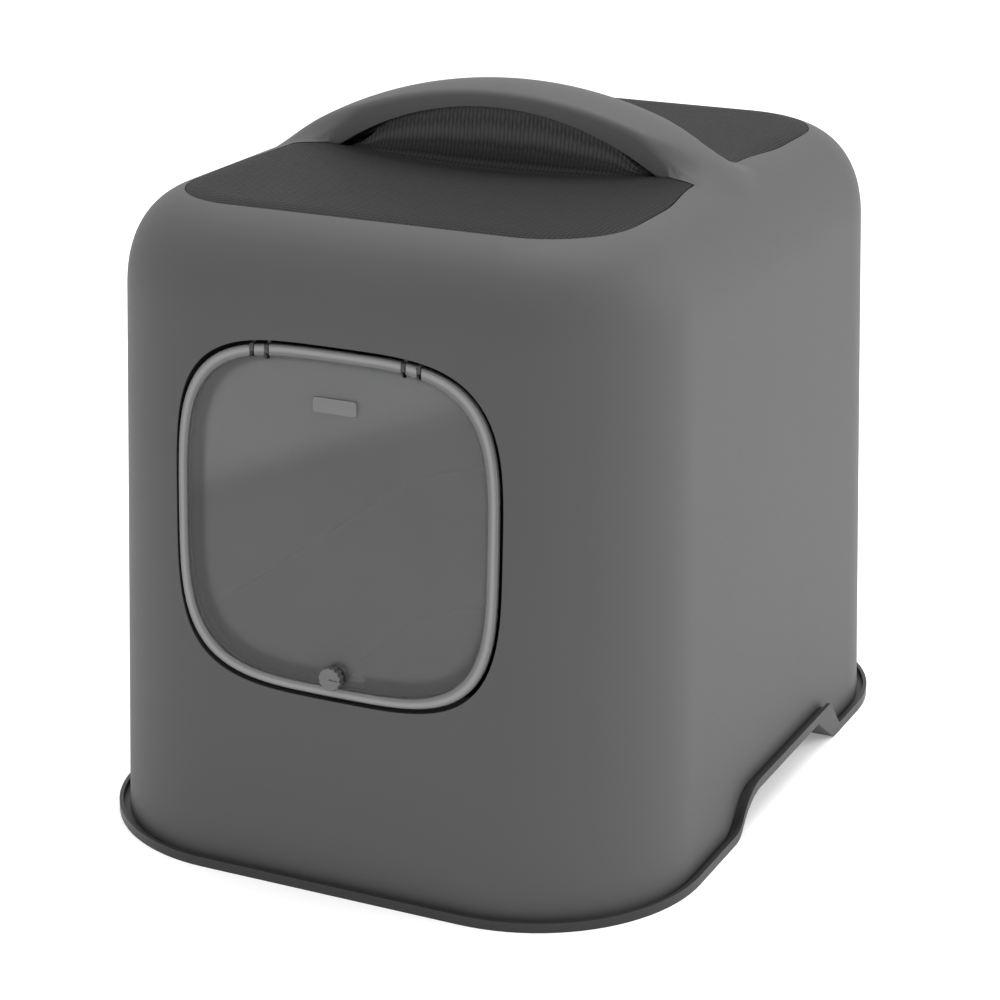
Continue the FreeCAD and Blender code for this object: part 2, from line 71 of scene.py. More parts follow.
# the seam between hood and deck beside the feet
SEAM_CORNER, SEAM_CORNER_Y, SEAM_IN, SEAM_RUN = 14 * MM, 39 * MM, 6.5 * MM, 60 * MM
FAN_WALL, ARC_WALL = 55 * MM, 22 * MM
END_STEPS, ARC_STEPS, REST_STEPS = 14, 9, 14
LOW_ROWS, WALL_ROWS, SHOULDER_ROWS, SHOULDER_PACK = 8, 27, 26, 1.7
WINDOW_LOW, WINDOW_MARGIN = 112 * MM, 12 * MM
PATCH_ROWS = (0.3, 0.6, 0.85, 1.0)
BAND_ROWS = 72
BAND_STEPS = (0, 5, 9.5, 13, 16, 18, 19.5, 20.8, 22, 23, 23.7, 24.3, 25)

# the rim's raised parts over the grip notches
NOTCH_RISE, NOTCH_STOPS = 22.7 * MM, (-81 * MM, -63 * MM, 89.4 * MM, 109.4 * MM)
NOTCH_SOFT_FRONT, NOTCH_SOFT_REAR = 11 * MM, 4 * MM

# the deck's well, the tuck under the handle's feet and the hump
WELL_LENGTH, WELL_BREADTH, WELL_POWER = 122 * MM, 92 * MM, 1.3
TUCK_FROM, TUCK_RUN, TUCK_EDGE, TUCK_SOFT, TUCK_DEPTH = 103 * MM, 5 * MM, 0.6 * MM, 1.6 * MM, 6.5 * MM
HUMP_GAP, HUMP_END, HUMP_END_RUN, HUMP_FALL, HUMP_EASE = 0.7 * MM, 112 * MM, 34 * MM, 22 * MM, 30 * MM
DECK_ROWS = (0, 6, 12, 16, 18.5, 19.5, 20.5, 21.5, 22.5, 23.5, 24.5, 25.5, 26.5, 28, 29.5, 31, 32.5, 34,
             35.5, 37, 39, 42, 46, 50, 55, 60, 66, 72, 80, 90, 100, 112, 124, 136)
DECK_TURNS, DECK_ACROSS, DECK_PACK = 22, 121, 0.8

# the rails that carry the filter drawer
RAIL_PLAY, RAIL_WEB, RAIL_LEDGE, RAIL_PAST = 0.6 * MM, 2.2 * MM, 4.0 * MM, 2.5 * MM
FLANGE_THICK, RAIL_BELOW_DECK = 2.0 * MM, 1.2 * MM

hood_low, hood_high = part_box("hood")
deck_low, deck_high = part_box("top_deck")
door_low, door_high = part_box("door_flap")
drawer_low, drawer_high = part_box("filter_drawer")
pad_low, pad_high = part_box("filter_pad")


# ---- sizes and colours that a user would change -------------------------------------------------------
class HoodSizes(bpy.types.PropertyGroup):
    """Sizes of the hood shell and of the handle band across its top."""

    wall: FloatProperty(name="Wall", description="Thickness of the hood's wall",
                        default=3.0 * MM, min=0.001, unit="LENGTH")
    side_draft: FloatProperty(name="Side draft", description="Lean of the long sides",
                              default=math.radians(1.47), subtype="ANGLE")
    end_draft: FloatProperty(name="End draft", description="Lean of the door side and of the back",
                             default=math.radians(2.55), subtype="ANGLE")
    corner_low: FloatProperty(name="Corner, bottom", description="Plan radius of the corners at the rim",
                              default=105.0 * MM, unit="LENGTH")
    corner_high: FloatProperty(name="Corner, top", description="Plan radius of the corners at the deck",
                               default=95.0 * MM, unit="LENGTH")
    deck_level: FloatProperty(name="Deck level", description="Height of the flat top beside the handle",
                              default=410.0 * MM, unit="LENGTH")
    shoulder_start: FloatProperty(name="Shoulder start", description="Height where the wall turns in",
                                  default=350.0 * MM, unit="LENGTH")
    shoulder_reach: FloatProperty(name="Shoulder reach", description="How far in the shoulder is level",
                                  default=54.0 * MM, unit="LENGTH")
    shoulder_weight: FloatProperty(name="Shoulder fullness", description="0.7 is round, more is fuller",
                                   default=0.88, min=0.3, max=3.0)
    band_half: FloatProperty(name="Handle half width", description="Half the handle's width",
                             default=25.0 * MM, unit="LENGTH")
    arch_radius: FloatProperty(name="Handle arch", description="Radius of the handle's top",
                               default=285.0 * MM, unit="LENGTH")
    under_radius: FloatProperty(name="Handle underside", description="Radius of the handle's lower edge",
                                default=200.0 * MM, unit="LENGTH")
    under_top: FloatProperty(name="Underside height", description="Highest point of the handle's lower edge",
                             default=443.0 * MM, unit="LENGTH")
    band_crown: FloatProperty(name="Handle crown", description="Rise of the handle's middle over its edges",
                              default=3.5 * MM, unit="LENGTH")


class DeckSizes(bpy.types.PropertyGroup):
    """Sizes of the woven deck and of the hump under the handle."""

    half_width: FloatProperty(name="Half width", description="Half the deck's width",
                              default=deck_high.x, unit="LENGTH")
    half_depth: FloatProperty(name="Half depth", description="Half the deck's depth",
                              default=deck_high.y - 6.0 * MM, unit="LENGTH")
    corner: FloatProperty(name="Corner", description="Plan radius of the deck's corners",
                          default=57.0 * MM, unit="LENGTH")
    gap: FloatProperty(name="Gap", description="Gap between the deck and the hood",
                       default=0.5 * MM, unit="LENGTH")
    wall: FloatProperty(name="Wall", description="Thickness of the deck",
                        default=3.0 * MM, unit="LENGTH")
    well_depth: FloatProperty(name="Finger well", description="Depth of the hollow beside the handle",
                              default=7.0 * MM, unit="LENGTH")
    hump_half: FloatProperty(name="Hump half width", description="Half the width of the hump by the handle",
                             default=19.0 * MM, unit="LENGTH")
    weave_pitch: FloatProperty(name="Weave pitch", description="Width of one thread of the moulded weave",
                               default=2.8 * MM, unit="LENGTH")


class DoorSizes(bpy.types.PropertyGroup):
    """Sizes of the doorway and of the clear flap."""

    centre_z: FloatProperty(name="Centre height", description="Height of the door's centre",
                            default=(door_low.z + door_high.z) / 2, unit="LENGTH")
    half: FloatProperty(name="Half size", description="Half the flap's width",
                        default=door_high.x, unit="LENGTH")
    power: FloatProperty(name="Squareness", description="2 is a circle, more is squarer", default=3.73)
    gap: FloatProperty(name="Gap", description="Gap between the flap and the hood",
                       default=2.3 * MM, unit="LENGTH")
    ring: FloatProperty(name="Ring width", description="Width of the flap's thick outer ring",
                        default=6.5 * MM, unit="LENGTH")


class Finishes(bpy.types.PropertyGroup):
    """Colours of the mouldings."""

    hood: FloatVectorProperty(name="Hood", description="Colour of the hood", subtype="COLOR",
                              default=(0.064, 0.064, 0.065), min=0, max=1)
    deck: FloatVectorProperty(name="Deck", description="Colour of the woven deck", subtype="COLOR",
                              default=(0.0135, 0.0135, 0.0140), min=0, max=1)
    tray: FloatVectorProperty(name="Tray", description="Colour of the tray", subtype="COLOR",
                              default=(0.022, 0.022, 0.0225), min=0, max=1)
    frame: FloatVectorProperty(name="Door frame", description="Colour of the door frame", subtype="COLOR",
                               default=(0.045, 0.045, 0.046), min=0, max=1)
    clear: FloatVectorProperty(name="Flap", description="Tint of the clear flap", subtype="COLOR",
                               default=(0.170, 0.170, 0.173), min=0, max=1)
    ring: FloatVectorProperty(name="Flap ring", description="Colour of the thick ring", subtype="COLOR",
                              default=(0.160, 0.160, 0.162), min=0, max=1)
    lock: FloatVectorProperty(name="Lock", description="Colour of the turn lock", subtype="COLOR",
                              default=(0.085, 0.085, 0.087), min=0, max=1)


class BoxSettings(bpy.types.PropertyGroup):
    """All that a user would change on the litter box."""

    hood: PointerProperty(type=HoodSizes, name="Hood", description="Hood and handle")
    deck: PointerProperty(type=DeckSizes, name="Deck", description="Top deck")
    door: PointerProperty(type=DoorSizes, name="Door", description="Door and doorway")
    finish: PointerProperty(type=Finishes, name="Finishes", description="Colours")
    corner_steps: IntProperty(name="Corner steps", description="Faces round one corner", default=24, min=6)


def settings():
    """The scene's own settings."""
    return bpy.context.scene.litter_box


# ---- small helpers ------------------------------------------------------------------------------------
def ease(t):
    """Smooth step from 0 to 1, level at both ends."""
    t = np.clip(t, 0.0, 1.0)
    return t * t * (3 - 2 * t)


def conic(start, middle, end, weight, count=240):
    """Points of the smooth turn from start to end that leaves and arrives along the lines to middle."""
    t = np.linspace(0, 1, count)[:, None]
    a, b, c = (1 - t) ** 2, 2 * weight * t * (1 - t), t ** 2
    return (a * np.array(start) + b * np.array(middle) + c * np.array(end)) / (a + b + c)


def soft_max(a, b, blend):
    """The larger of two heights, with a fillet of about that blend where they cross."""
    return (a + b + np.sqrt((a - b) ** 2 + blend ** 2)) / 2


def squircle(angle, half, power):
    """Point of a soft square at a polar angle."""
    c, s = np.cos(angle), np.sin(angle)
    reach = half / (np.abs(c) ** power + np.abs(s) ** power) ** (1 / power)
    return reach * c, reach * s


def new_mesh(name, points, faces, smooth=True):
    """A mesh object from points and faces, linked to the scene."""
    mesh = bpy.data.meshes.new(name)
    mesh.from_pydata([tuple(p) for p in points], [], faces)
    mesh.validate()
    mesh.polygons.foreach_set("use_smooth", [smooth] * len(mesh.polygons))
    obj = bpy.data.objects.new(name, mesh)
    bpy.context.scene.collection.objects.link(obj)
    return obj


def dress(obj, material):
    """Give an object one material."""
    obj.data.materials.clear()
    obj.data.materials.append(material)


def round_edges(obj, width, segments=2, angle=math.radians(40), by_weight=False):
    """Soften an object's edges with a bevel that keeps its flat faces flat."""
    bevel = obj.modifiers.new("soft edges", "BEVEL")
    bevel.width = width
    bevel.segments = segments
    bevel.limit_method = "WEIGHT" if by_weight else "ANGLE"
    bevel.angle_limit = angle
    bevel.harden_normals = True
    bevel.use_clamp_overlap = True


# ---- shape of the hood --------------------------------------------------------------------------------
class HoodShape:
    """Outlines and heights of the hood, worked out from its sizes."""

    def __init__(self, hood, deck):
        self.hood, self.deck = hood, deck
        self.side_lean = math.tan(hood.side_draft)
        self.end_lean = math.tan(hood.end_draft)
        self.start = hood.shoulder_start
        self.top_w, self.top_d, self.top_r = self.outline(self.start)
        self.side_profile = self.shoulder_profile(self.side_lean)
        self.end_profile = self.shoulder_profile(self.end_lean)
        self.arch_profile = self.foot_profile()

    def outline(self, z):
        """Half width, half depth and corner radius of the wall at height z."""
        up = z - hood_low.z
        hood = self.hood
        corner = hood.corner_low + (hood.corner_high - hood.corner_low) * z / hood.deck_level
        return hood_high.x - up * self.side_lean, hood_high.y - up * self.end_lean, corner

    def wall_y(self, x, z):
        """Depth of the front wall at a place beside the door."""
        w, d, r = self.outline(z)
        over = np.maximum(np.abs(x) - (w - r), 0.0)
        return -(d - r) - np.sqrt(r * r - over * over)

    def shoulder_profile(self, lean):
        """Height of the plain shoulder against the distance in from the wall's top."""
        rise = self.hood.deck_level - self.start
        points = conic((0, self.start), (lean * rise, self.hood.deck_level),
                       (self.hood.shoulder_reach, self.hood.deck_level), self.hood.shoulder_weight)
        return points[:, 0], points[:, 1]

    def arch_height(self, x):
        """Top of the handle's middle line."""
        radius = self.hood.arch_radius
        return hood_high.z - radius + np.sqrt(radius ** 2 - x ** 2)

    def foot_profile(self):
        """Height of the handle's middle line against the distance in from the wall's top."""
        radius = self.hood.arch_radius
        slope = FOOT_LEAVE / math.sqrt(radius ** 2 - FOOT_LEAVE ** 2)
        z = float(self.arch_height(FOOT_LEAVE))
        inward = self.top_w - FOOT_LEAVE
        run = (inward - (z - self.start) * self.side_lean) / (1 - slope * self.side_lean)
        points = conic((0, self.start), (inward - run, z - slope * run), (inward, z), FOOT_FULLNESS)
        return points[:, 0], points[:, 1]

    def dome(self, x, y):
        """Height of the hood's top without the handle."""
        w, d, r = self.top_w, self.top_d, self.top_r
        qx, qy = np.abs(x) - (w - r), np.abs(y) - (d - r)
        out = np.hypot(np.maximum(qx, 0), np.maximum(qy, 0)) + np.minimum(np.maximum(qx, qy), 0) - r
        inward = np.maximum(-out, 0)
        turn = np.where((qx > 0) & (qy > 0), np.arctan2(np.maximum(qy, 0), np.maximum(qx, 1e-9)),
                        np.where(qy > qx, math.pi / 2, 0.0))
        share = np.sin(turn) ** 2
        side = np.interp(inward, *self.side_profile)
        end = np.interp(inward, *self.end_profile)
        return side + (end - side) * share

    def arch(self, x):
        """Height of the handle's middle line right across the hood."""
        x = np.abs(x)
        foot = np.interp(self.top_w - x, *self.arch_profile)
        crown = self.arch_height(np.minimum(x, 0.2))
        return np.where(self.top_w - x < self.arch_profile[0][-1], foot, crown)

    def under(self, x):
        """Height of the handle's lower edge."""
        radius = self.hood.under_radius
        return self.hood.under_top - radius + np.sqrt(np.maximum(radius ** 2 - x ** 2, 0))

    def base(self, x, y):
        """Height that the handle stands on: its lower edge in the middle, the plain hood at its feet."""
        plain = self.dome(x, y)
        return np.where(np.abs(y) < BASE_ZONE, soft_max(self.under(x), plain, BASE_BLEND), plain)

    def top(self, x, y):
        """Height of the finished top, with the handle swelling out of the shoulders."""
        ax, ay = np.abs(x), np.abs(y)
        half = self.hood.band_half
        spread = ease((ax - SPREAD_FROM) / SPREAD_RUN)
        reach = half + SPREAD_REACH * spread
        roll = ROLL_EDGE + (reach - ROLL_EDGE) * ease((ax - ROLL_FROM) / ROLL_RUN) * ROLL_SHARE
        u = np.clip((reach - ay) / roll, 0, 1)
        firm = (1 - (1 - u) ** EDGE_POWER) ** (1 / EDGE_POWER)
        soft = ease(u)
        share = firm + (soft - firm) * ease((ax - SOFT_FROM) / SOFT_RUN)
        crown = self.hood.band_crown * (ay / half) ** 2 * (1 - spread)
        base = self.base(x, y)
        return base + (np.maximum(self.arch(x) - crown, base) - base) * share

    def rim(self, y):
        """Height of the hood's lower edge: raised over the grip notches."""
        low, high = hood_low.z, hood_low.z + NOTCH_RISE
        window = np.linspace(-1, 1, 9)
        soft = np.where(y < 0, NOTCH_SOFT_FRONT, NOTCH_SOFT_REAR)
        heights = [low, high, high, low]
        return np.mean([np.interp(y + k * soft, NOTCH_STOPS, heights) for k in window], axis=0)

    def seam_half(self, y):
        """Half width of the deck's opening at depth y, between its two end corners."""
        ay = np.abs(y)
        wide = self.deck.half_width + self.deck.gap
        narrow = wide - SEAM_IN
        line = narrow + SEAM_IN * ease((ay - SEAM_CORNER_Y) / SEAM_RUN)
        back = np.minimum(SEAM_CORNER_Y - ay, SEAM_CORNER)
        arc = narrow - SEAM_CORNER + np.sqrt(np.maximum(SEAM_CORNER ** 2 - back ** 2, 0))
        return np.where(ay < SEAM_CORNER_Y, arc, line)


def side_columns(shape):
    """Wall depth share and seam point of each column of one long side, from the back to the front."""
    straight = shape.top_d - shape.top_r
    half = shape.hood.band_half
    band = [(FAN_WALL * i / (len(BAND_STEPS) - 1) / straight, BAND_END, half * step / BAND_STEPS[-1])
            for i, step in enumerate(BAND_STEPS)]
    arc = []
    for i in range(1, ARC_STEPS + 1):
        t = i / ARC_STEPS
        wall = (FAN_WALL + ARC_WALL * t) / straight
        if t < FAN_SHARE:
            arc.append((wall, BAND_END + (FAN_END - BAND_END) * t / FAN_SHARE, half))
            continue
        y = SEAM_CORNER_Y - SEAM_CORNER * math.cos(math.pi / 2 * (t - FAN_SHARE) / (1 - FAN_SHARE))
        arc.append((wall, float(shape.seam_half(y)), y))
    rest = []
    for i in range(1, REST_STEPS + 1):
        t = i / REST_STEPS
        fan = FAN_WALL + ARC_WALL
        wall = (fan + (straight - fan) * t) / straight
        y = SEAM_CORNER_Y + (shape.deck.half_depth - shape.deck.corner - SEAM_CORNER_Y) * t
        rest.append((wall, float(shape.seam_half(y)), y))
    front_half = band + arc + rest
    back_half = [(w, x, y) for w, x, y in reversed(front_half[1:])]
    return [(w, x, y) for w, x, y in back_half] + [(-w, x, -y) for w, x, y in front_half]


def hood_columns(shape, corner_steps):
    """Every column round the hood, as wall factors and a seam point, starting in the middle of the back."""
    deck = shape.deck
    w = deck.half_width + deck.gap
    d = deck.half_depth + deck.gap
    r = deck.corner + deck.gap
    columns = []

    def add(a, b, angle, seam=None):
        if seam is None:
            seam = (a * (w - r) + r * math.cos(angle), b * (d - r) + r * math.sin(angle))
        columns.append((a, b, angle, seam))

    quarter = math.pi / 2
    for i in range(END_STEPS):
        add(-i / END_STEPS, 1, quarter)
    for i in range(corner_steps):
        add(-1, 1, quarter + quarter * i / corner_steps)
    for share, x, y in side_columns(shape)[:-1]:
        add(-1, share, 2 * quarter, (-x, y))
    for i in range(corner_steps):
        add(-1, -1, 2 * quarter + quarter * i / corner_steps)
    for i in range(2 * END_STEPS):
        add(i / END_STEPS - 1, -1, 3 * quarter)
    for i in range(corner_steps):
        add(1, -1, 3 * quarter + quarter * i / corner_steps)
    for share, x, y in reversed(side_columns(shape)[1:]):
        add(1, share, 4 * quarter, (x, y))
    for i in range(corner_steps):
        add(1, 1, 4 * quarter + quarter * i / corner_steps)
    for i in range(END_STEPS):
        add(1 - i / END_STEPS, 1, quarter)
    return columns


def dome_normals(shape, x, y):
    """Outward unit normals of the plain dome at plan points."""
    step = 0.2 * MM
    gx = (shape.dome(x + step, y) - shape.dome(x - step, y)) / (2 * step)
    gy = (shape.dome(x, y + step) - shape.dome(x, y - step)) / (2 * step)
    length = np.sqrt(gx ** 2 + gy ** 2 + 1)
    return np.stack([-gx / length, -gy / length, 1 / length], axis=-1)


def hood_rings(shape, columns):
    """Outer and inner points of every row of the hood, from the rim up to the deck's opening."""
    a, b, angle = (np.array([c[i] for c in columns]) for i in range(3))
    seam = np.array([c[3] for c in columns])
    normal = np.stack([np.cos(angle), np.sin(angle), np.zeros(len(a))], axis=-1)
    wall = shape.hood.wall
    outer, inner = [], []

    def plan(z):
        w, d, r = shape.outline(z)
        return np.stack([a * (w - r) + r * np.cos(angle), b * (d - r) + r * np.sin(angle)], axis=-1)

    edge = shape.rim(plan(20 * MM)[:, 1])
    for share in np.arange(LOW_ROWS) / LOW_ROWS:
        z = edge + (WINDOW_LOW - edge) * share
        w, d, r = shape.outline(z)
        xy = np.stack([a * (w - r) + r * np.cos(angle), b * (d - r) + r * np.sin(angle)], axis=-1)
        outer.append(np.column_stack([xy, z]))
    first_window = len(outer)
    for z in np.linspace(WINDOW_LOW, shape.start, WALL_ROWS):
        outer.append(np.column_stack([plan(z), np.full(len(a), z)]))
    last_window = len(outer) - 1
    for row in outer:
        inner.append(row - normal * wall)
    start = outer[-1][:, :2]
    for share in np.linspace(0, 1, SHOULDER_ROWS + 1)[1:]:
        xy = start + (seam - start) * share ** SHOULDER_PACK
        z = shape.top(xy[:, 0], xy[:, 1])
        outer.append(np.column_stack([xy, z]))
        plain = np.column_stack([xy, shape.dome(xy[:, 0], xy[:, 1])])
        inner.append(plain - dome_normals(shape, xy[:, 0], xy[:, 1]) * wall)
    return np.array(outer), np.array(inner), first_window, last_window


def window_patch(shape, door, ring, points, offset_y):
    """Rows of points from a window in the wall's grid in to the doorway's edge."""
    half = door.half + door.gap
    rows = [ring]
    flat = np.array([points[i] for i in ring])
    angle = np.arctan2(flat[:, 2] - door.centre_z, flat[:, 0])
    hx, hz = squircle(angle, half, door.power)
    hz = hz + door.centre_z
    added = []
    for share in PATCH_ROWS:
        x = flat[:, 0] + (hx - flat[:, 0]) * share
        z = flat[:, 2] + (hz - flat[:, 2]) * share
        y = shape.wall_y(x, z) + offset_y
        start = len(points) + len(added)
        added.extend(np.column_stack([x, y, z]))
        rows.append(list(range(start, start + len(x))))
    return rows, added


def make_hood_mesh(shape, door, corner_steps):
    """Points, faces and the rounded edges of the whole hood."""
    columns = hood_columns(shape, corner_steps)
    outer, inner, first, last = hood_rings(shape, columns)
    rows, count = outer.shape[:2]
    window_half = door.half + WINDOW_MARGIN
    mid = outer[(first + last) // 2]
    window_cols = [i for i in range(count) if mid[i, 1] < 0 and abs(mid[i, 0]) < window_half]
    c0, c1 = window_cols[0] - 1, window_cols[-1] + 1
    points, faces, weights = [], [], {}
    left = [i for i, column in enumerate(columns) if column[3][0] == -BAND_END]
    right = [i for i, column in enumerate(columns) if column[3][0] == BAND_END][::-1]

    def grid(layer, flip, offset_y):
        base = len(points)
        points.extend(layer.reshape(-1, 3))

        def at(row, col):
            return base + row * count + col % count

        def face(*corners):
            faces.append(tuple(corners[::-1] if flip else corners))

        for row in range(rows - 1):
            for col in range(count):
                if first <= row < last and c0 <= col < c1:
                    continue
                face(at(row, col), at(row, col + 1), at(row + 1, col + 1), at(row + 1, col))
        ring = [at(first, c) for c in range(c0, c1)] + [at(r, c1) for r in range(first, last)]
        ring += [at(last, c) for c in range(c1, c0, -1)] + [at(r, c0) for r in range(last, first, -1)]
        patch, added = window_patch(shape, door, ring, points, offset_y)
        points.extend(added)
        for near, far in zip(patch, patch[1:]):
            for i in range(len(ring)):
                j = (i + 1) % len(ring)
                face(near[i], near[j], far[j], far[i])
        band = [[at(rows - 1, i) for i in left]]
        y = np.array([columns[i][3][1] for i in left])
        for across in np.linspace(-1, 1, BAND_ROWS + 1)[1:-1] * BAND_END:
            x = np.full(len(y), across)
            if flip:
                z = np.maximum(shape.under(x), shape.dome(x, y) - shape.hood.wall)
            else:
                z = shape.top(x, y)
            band.append(list(range(len(points), len(points) + len(y))))
            points.extend(np.column_stack([x, y, z]))
        band.append([at(rows - 1, i) for i in right])
        for near, far in zip(band, band[1:]):
            for i in range(len(y) - 1):
                face(near[i], near[i + 1], far[i + 1], far[i])

    grid(outer, False, 0.0)
    half_way = len(points)
    grid(inner, True, shape.hood.wall)
    edges = {(f[i - 1], f[i]): True for f in faces for i in range(len(f))}
    for u, v in edges:
        if (v, u) in edges or u >= half_way:
            continue
        faces.append((v, u, u + half_way, v + half_way))
        where = (np.array(points[u]) + np.array(points[v])) / 2
        at_foot = abs(where[1]) < FOOT_EDGE_Y and FOOT_EDGE_FROM < abs(where[0]) < SPREAD_FROM
        weights[(u, v)] = 0.0 if at_foot and where[2] > shape.start else 1.0
    return points, faces, weights


class LITTER_OT_hood(bpy.types.Operator):
    """Make the hood with its handle as one smooth moulding"""

    bl_idname = "litter.hood"
    bl_label = "Hood"

    def execute(self, context):
        box = settings()
        shape = HoodShape(box.hood, box.deck)
        points, faces, weights = make_hood_mesh(shape, box.door, box.corner_steps)
        hood = new_mesh("hood_shell", points, faces)
        dress(hood, satin_plastic("hood satin", box.finish.hood, 0.58))
        mark = hood.data.attributes.new("bevel_weight_edge", "FLOAT", "EDGE")
        for edge in hood.data.edges:
            u, v = edge.vertices
            mark.data[edge.index].value = weights.get((u, v), weights.get((v, u), 0.0))
        round_edges(hood, 0.6 * MM, 2, by_weight=True)
        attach(hood, "hood")
        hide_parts("hood")
        return {"FINISHED"}


# ---- top deck -----------------------------------------------------------------------------------------
def deck_height(shape, deck, x, y):
    """Height of the deck: the dome, the finger well and the hump under the handle."""
    ax, ay = np.abs(x), np.abs(y)
    band = shape.hood.band_half
    level = shape.dome(x, y) - 0.3 * MM
    bowl = np.clip(1 - (ax / WELL_LENGTH) ** 2 - (ay / WELL_BREADTH) ** 2, 0, 1)
    level = level - deck.well_depth * bowl ** WELL_POWER
    tuck = ease((ax - TUCK_FROM) / TUCK_RUN) * ease((band + TUCK_EDGE - ay) / TUCK_SOFT)
    level = level - TUCK_DEPTH * tuck
    crest = shape.under(x) - HUMP_GAP
    cap = ease((HUMP_END - ax) / HUMP_END_RUN)
    away = np.clip((ay - deck.hump_half) / HUMP_FALL, 0, 1)
    slope = (1 - away) ** 5 * (1 - ease((ay - deck.hump_half) / HUMP_EASE) * 0.5)
    lift = np.maximum(crest - level, 0) * cap * slope
    return level + lift


def deck_outline(shape, deck):
    """Depths of the deck's rows and the half width of each."""
    straight = deck.half_depth - deck.corner
    depths = [y * MM for y in DECK_ROWS]
    halves = [float(shape.seam_half(y)) - 2 * deck.gap for y in depths]
    for i in range(DECK_TURNS + 1):
        angle = math.pi / 2 * i / DECK_TURNS
        depths.append(straight + deck.corner * math.sin(angle))
        halves.append(deck.half_width - deck.corner + deck.corner * math.cos(angle))
    depths = [-y for y in reversed(depths[1:])] + depths
    halves = list(reversed(halves[1:])) + halves
    return np.array(depths), np.array(halves)


def bar(corners_low, corners_high):
    """Points and faces of a plain bar between two corners."""
    (x0, y0, z0), (x1, y1, z1) = corners_low, corners_high
    points = [(x, y, z) for z in (z0, z1) for y in (y0, y1) for x in (x0, x1)]
    return points, [(0, 2, 3, 1), (4, 5, 7, 6), (0, 1, 5, 4), (2, 6, 7, 3), (0, 4, 6, 2), (1, 3, 7, 5)]


def rail_bars(shape, deck):
    """The two angled rails under the deck that carry the filter drawer."""
    flange = drawer_high.x + RAIL_PLAY
    ledge = drawer_high.z - FLANGE_THICK - RAIL_PLAY
    low = ledge - RAIL_WEB
    y0, y1 = pad_low.y - RAIL_PAST, pad_high.y + RAIL_PAST
    top = shape.hood.deck_level - deck.well_depth - RAIL_BELOW_DECK
    bars = []
    for side in (-1, 1):
        for x0, x1, z0, z1 in ((flange, flange + RAIL_WEB, low, top),
                               (flange - RAIL_LEDGE, flange, low, ledge)):
            xs = sorted((side * x0, side * x1))
            bars.append(bar((xs[0], y0, z0), (xs[1], y1, z1)))
    return bars


class LITTER_OT_deck(bpy.types.Operator):
    """Make the woven top deck with its finger wells, hump and filter rails"""

    bl_idname = "litter.deck"
    bl_label = "Top deck"

    def execute(self, context):
        box = settings()
        deck = box.deck
        shape = HoodShape(box.hood, deck)
        depths, halves = deck_outline(shape, deck)
        widest = math.pi / 2 * DECK_PACK
        shares = np.sin(np.linspace(-1, 1, DECK_ACROSS) * widest) / math.sin(widest)
        x = halves[:, None] * shares[None, :]
        y = np.repeat(depths[:, None], len(shares), axis=1)
        z = deck_height(shape, deck, x, y)
        rows, count = x.shape
        upper = np.stack([x, y, z], axis=-1).reshape(-1, 3)
        lower = np.stack([x * 0.999, y * 0.999, z - deck.wall], axis=-1).reshape(-1, 3)
        points = list(upper) + list(lower)
        total = rows * count
        faces = []
        for r in range(rows - 1):
            for c in range(count - 1):
                quad = (r * count + c, r * count + c + 1, (r + 1) * count + c + 1, (r + 1) * count + c)
                faces.append(quad)
                faces.append(tuple(total + i for i in reversed(quad)))
        rim = [c for c in range(count)] + [r * count + count - 1 for r in range(1, rows)]
        rim += [(rows - 1) * count + c for c in range(count - 2, -1, -1)]
        rim += [r * count for r in range(rows - 2, 0, -1)]
        for i, u in enumerate(rim):
            v = rim[(i + 1) % len(rim)]
            faces.append((v, u, u + total, v + total))
        for bar_points, bar_faces in rail_bars(shape, deck):
            start = len(points)
            points.extend(bar_points)
            faces.extend(tuple(start + i for i in f) for f in bar_faces)
        obj = new_mesh("woven_deck", points, faces)
        dress(obj, woven_plastic(box.finish.deck, deck.weave_pitch))
        round_edges(obj, 0.8 * MM, 2, angle=math.radians(60))
        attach(obj, "hood")
        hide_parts("top_deck")
        return {"FINISHED"}


